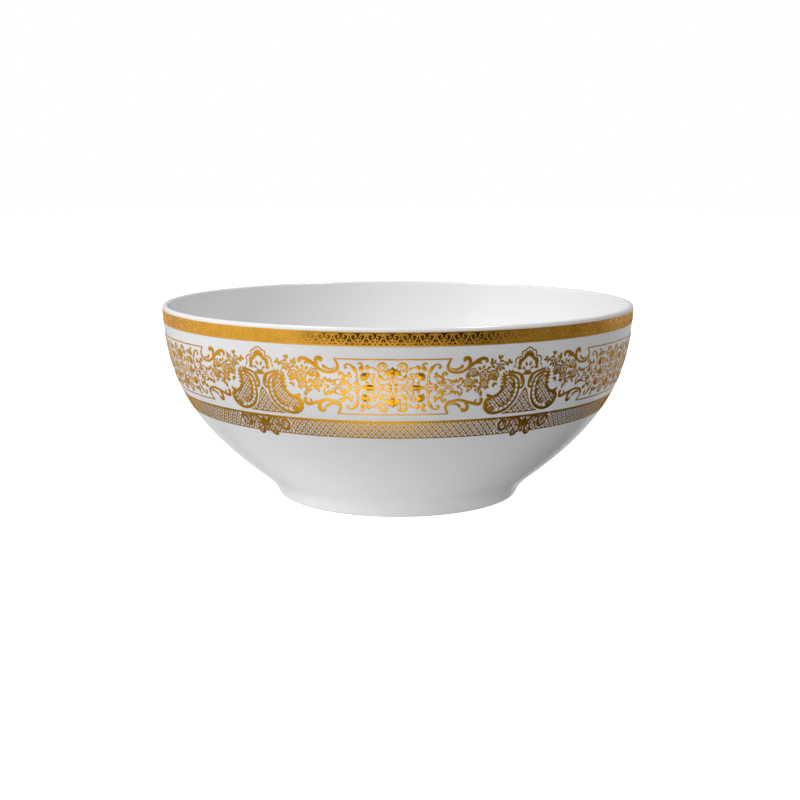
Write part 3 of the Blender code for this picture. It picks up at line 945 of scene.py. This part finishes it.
# Angles of the clasps from the front, the two nearest the front first and last.
def claspAngles():
    first = trellis["frontClasp"] / printing["radius"]
    step = (math.tau - 2 * first) / (repeats - 1)
    return [first + step * i for i in range(repeats)]


def makeTrellisStrips():
    angles = claspAngles()
    margin = trellis["claspHalf"] + trellis["claspGap"]
    for name, first, turns in (
        ("front", 1, [0.0]), ("back", 2, [(a + b) / 2 for a, b in zip(angles, angles[1:])]),
    ):
        sheet = newSheet("trellis", smoothness=1)
        half = angles[0] if name == "front" else (angles[1] - angles[0]) / 2
        reach = half * printing["radius"] - margin
        drawTrellis(newPen(sheet), -reach, reach)
        repeatPrint("trellis_strip_print", "trellis_strip", sheet, turns, golds["goldFine"], first=first)


def drawClaspHalf(pen):
    drawStroke(pen, [(8.3, 58.0), (5.6, 57.9), (3.3, 56.5), (2.3, 54.4), (2.0, 52.1), (2.5, 50.1),
                     (3.7, 49.0), (5.2, 49.1), (5.6, 50.3), (4.8, 51.6), (4.0, 51.2)],
               [0.7, 0.95, 0.95, 0.9, 0.9, 1.0, 1.1, 1.1, 0.95, 0.85, 0.6])
    drawStroke(pen, [(7.2, 57.0), (5.3, 56.0), (4.2, 54.0), (4.6, 52.4)], [0.4, 0.65, 0.7, 0.4])
    drawStroke(pen, [(8.2, 58.0), (8.9, 56.4), (9.0, 54.3), (10.4, 52.7), (12.6, 52.4), (14.2, 53.8),
                     (14.6, 55.8), (13.2, 57.2), (11.5, 56.8), (10.7, 55.4), (11.8, 54.5)],
               [0.7, 0.9, 0.95, 1.0, 1.05, 1.05, 1.0, 0.9, 0.85, 0.8, 0.6])
    drawLeaf(pen, (6.4, 55.0), (7.9, 52.2), 0.95, bend=0.15)
    drawLeaf(pen, (9.4, 57.4), (11.2, 58.2), 0.75)
    drawStroke(pen, [(1.7, 55.6), (1.1, 53.6), (1.5, 51.6)], [0.4, 0.6, 0.3])


def makeClasps():
    sheet = newSheet("clasp")
    for side in (-1, 1):
        drawClaspHalf(newPen(sheet, (side, 1)))
    whole = newPen(sheet)
    drawFan(whole, (0.0, 53.8), 90, 96, 5, 3.9, 1.15)
    drawDot(whole, (0.0, 54.0), 0.65)
    drawLeaf(whole, (0.0, 53.4), (0.0, 50.4), 0.9)
    drawTrellis(whole, -trellis["claspHalf"], trellis["claspHalf"])
    repeatPrint("bow_clasp_print", "bow_clasp", sheet, claspAngles(), golds["goldDrawing"])


makeTrellisStrips()
makeClasps()
bpy.data.objects.remove(strokeSection)


# Stage, light and camera

camera = {
    "distance": 0.66875,
    "height": 0.1688,
    "pitch": math.radians(10.23),
    "azimuth": math.radians(1.13),
    "lens": 55.85,
    "aside": 0.0011,  # the axis stands this far left of the middle of the view
}


def makeCamera():
    data = bpy.data.cameras.new("camera")
    data.lens = camera["lens"]
    data.sensor_width = 36.0
    made = bpy.data.objects.new("camera", data)
    bpy.context.scene.collection.objects.link(made)
    turn = Matrix.Rotation(camera["azimuth"], 4, "Z")
    place = turn @ Vector((0.0, -camera["distance"], camera["height"]))
    drop = camera["distance"] * math.tan(camera["pitch"])
    target = turn @ Vector((camera["aside"], 0.0, camera["height"] - drop))
    made.location = place
    made.rotation_euler = (target - place).to_track_quat("-Z", "Y").to_euler()
    data.clip_start = 0.01
    data.clip_end = 50.0
    bpy.context.scene.camera = made


stage = {
    "radius": 6.0, "colour": (0.45, 0.45, 0.45, 1.0), "cloud": 0.985,
    "glow": (1.05, 0.0), "glowAcross": (-0.25, 0.25),  # painted glow that the floor sends up onto the bowl as light, from left to right
    "glowPool": (0.075, 0.22, 0.10),  # a painted pool of that glow round the foot: near, far and what is left there
    "seenGlow": 0.95,  # what the camera sees of it, so the floor looks white and has no shadow
    "lightsAimAt": (0.0, 0.0, 0.05),
}
lights = {
    "keyLeft": {"at": (-1.30, -0.75, 0.95), "size": (0.9, 0.9), "power": 11.6, "tint": (1.0, 0.99, 0.975),
                "mirrored": False},
    "frontSoft": {"at": (0.45, -1.55, 0.68), "size": (0.35, 0.35), "power": 3.1, "tint": (1.0, 0.99, 0.98),
                  "mirrored": False},
    "overhead": {"at": (-0.48, -0.48, 1.4), "size": (0.7, 0.5), "power": 7.0, "tint": (1.0, 1.0, 1.0),
                 "mirrored": False},
    "glintLeft": {"at": (0.32, 0.10, 1.00), "size": (0.2, 0.2), "power": 4.0, "tint": (1.0, 1.0, 1.0),
                  "mirroredOnly": True},
    "glintRight": {"at": (-0.36, 0.10, 1.00), "size": (0.2, 0.2), "power": 4.0, "tint": (1.0, 1.0, 1.0),
                   "mirroredOnly": True},
}
sky = {
    "sides": (0.44, 0.37), "across": 0.9, "tint": (0.985, 0.99, 1.0, 1.0),
    "horizon": (0.0, 0.6, 0.40),  # the sky is dimmer low down
    # only mirrored, at eye level: on the left and right, then at the back
    "shine": (0.92, 0.22), "shineAcross": 0.6, "behind": (0.2, 0.8, 0.58),
    # only mirrored, below it: side to front, then left to right
    "tableShine": (0.24, 2.9), "tableFront": (-0.25, -0.75), "tableFade": (-0.04, 0.44, 0.12),
    "tableEdge": (-0.52, -0.34), "tableUnder": (-0.95, -0.78, 0.40),
    "darkAt": (0.10, -0.995), "darkFrom": (0.52, 0.86), "dark": 0.08,  # the unlit front of the studio
}


def makeFloor():
    shape = bmesh.new()
    bmesh.ops.create_circle(shape, cap_ends=True, segments=96, radius=stage["radius"])
    made, tree, shader, place = newMaterial("paleFloor")
    cloud = addNoise(tree, place, 0.8, 2.0)
    clouded = tuple(stage["cloud"] * c for c in stage["colour"][:3]) + (1.0,)
    tone = addMix(tree, cloud, stage["colour"], clouded)
    tree.links.new(tone, shader.inputs["Base Color"])
    shader.inputs["Roughness"].default_value = 0.9
    shader.inputs["Specular IOR Level"].default_value = 0.0
    shader.inputs["Emission Color"].default_value = (1.0, 1.0, 1.0, 1.0)
    isCamera = addNode(tree, "ShaderNodeLightPath").outputs["Is Camera Ray"]
    across = addNode(tree, "ShaderNodeSeparateXYZ", {"Vector": place}).outputs["X"]
    # Painted light: the floor glows (no lamp) to light the bowl's foot and lower wall, strongest near the
    # foot and on the left.
    side = addMap(tree, across, *stage["glowAcross"], *stage["glow"])
    distance = addNode(tree, "ShaderNodeVectorMath", {0: place}, operation="LENGTH").outputs["Value"]
    near, far, rest = stage["glowPool"]
    side = addMath(tree, "MULTIPLY", side, addMap(tree, distance, near, far, 1.0, rest))
    glow = addNode(tree, "ShaderNodeMix", {0: isCamera, 2: side, 3: stage["seenGlow"]})
    tree.links.new(glow.outputs[0], shader.inputs["Emission Strength"])
    floor = addPiece("floor", shape, made)
    floor.visible_glossy = False


def makeLights():
    for name, facts in lights.items():
        data = bpy.data.lights.new(name, "AREA")
        data.shape = "RECTANGLE"
        data.size, data.size_y = facts["size"]
        data.energy = facts["power"]
        data.color = facts["tint"]
        made = bpy.data.objects.new(name, data)
        made.location = facts["at"]
        made.visible_glossy = facts.get("mirrored", True)
        made.visible_diffuse = not facts.get("mirroredOnly", False)
        aim = Vector(stage["lightsAimAt"]) - Vector(facts["at"])
        made.rotation_euler = aim.to_track_quat("-Z", "Y").to_euler()
        bpy.context.scene.collection.objects.link(made)


# The backdrop looks plain white, the light that it sends falls off from left to right, and the gold and
# glaze mirror a surround of their own with a dark front.
def makeSky():
    world = bpy.data.worlds.new("studio")
    bpy.context.scene.world = world
    world.use_nodes = True
    tree = world.node_tree
    background = tree.nodes["Background"]
    direction = addNode(tree, "ShaderNodeTexCoord").outputs["Generated"]
    split = addNode(tree, "ShaderNodeSeparateXYZ", {"Vector": direction}).outputs
    across = split["X"]
    side = addMap(tree, across, -sky["across"], sky["across"], *sky["sides"])
    start, end, dim = sky["horizon"]
    side = addMath(tree, "MULTIPLY", side, addMap(tree, split["Z"], start, end, dim, 1.0))
    toward = addNode(tree, "ShaderNodeVectorMath", {0: direction, 1: (*sky["darkAt"], 0.0)},
                     operation="DOT_PRODUCT").outputs["Value"]
    unlit = addMap(tree, toward, *sky["darkFrom"], 1.0, sky["dark"])
    start, end, glow = sky["behind"]
    behind = addMap(tree, split["Y"], start, end)
    shine = addMap(tree, across, -sky["shineAcross"], sky["shineAcross"], *sky["shine"])
    level = addNode(tree, "ShaderNodeMix", {0: behind, 2: shine, 3: glow}).outputs[0]
    level = addMath(tree, "MULTIPLY", level, unlit)
    front = addMap(tree, split["Y"], *sky["tableFront"], *sky["tableShine"])
    start, end, dim = sky["tableFade"]
    table = addMath(tree, "MULTIPLY", front, addMap(tree, across, start, end, 1.0, dim))
    table = addMath(tree, "MULTIPLY", table, addMap(tree, split["Z"], *sky["tableUnder"], 1.0))
    above = addMap(tree, split["Z"], *sky["tableEdge"])
    shine = addNode(tree, "ShaderNodeMix", {0: above, 2: table, 3: level}).outputs[0]
    path = addNode(tree, "ShaderNodeLightPath").outputs
    sent = addNode(tree, "ShaderNodeMix", {0: path["Is Glossy Ray"], 2: side, 3: shine}).outputs[0]
    strength = addNode(tree, "ShaderNodeMix", {0: path["Is Camera Ray"], 2: sent, 3: 1.0}).outputs[0]
    tint = addMix(tree, path["Is Camera Ray"], sky["tint"], (1.0, 1.0, 1.0, 1.0))
    tree.links.new(tint, background.inputs["Color"])
    tree.links.new(strength, background.inputs["Strength"])
    bpy.context.scene.view_settings.view_transform = "Standard"


makeCamera()
makeFloor()
makeLights()
makeSky()
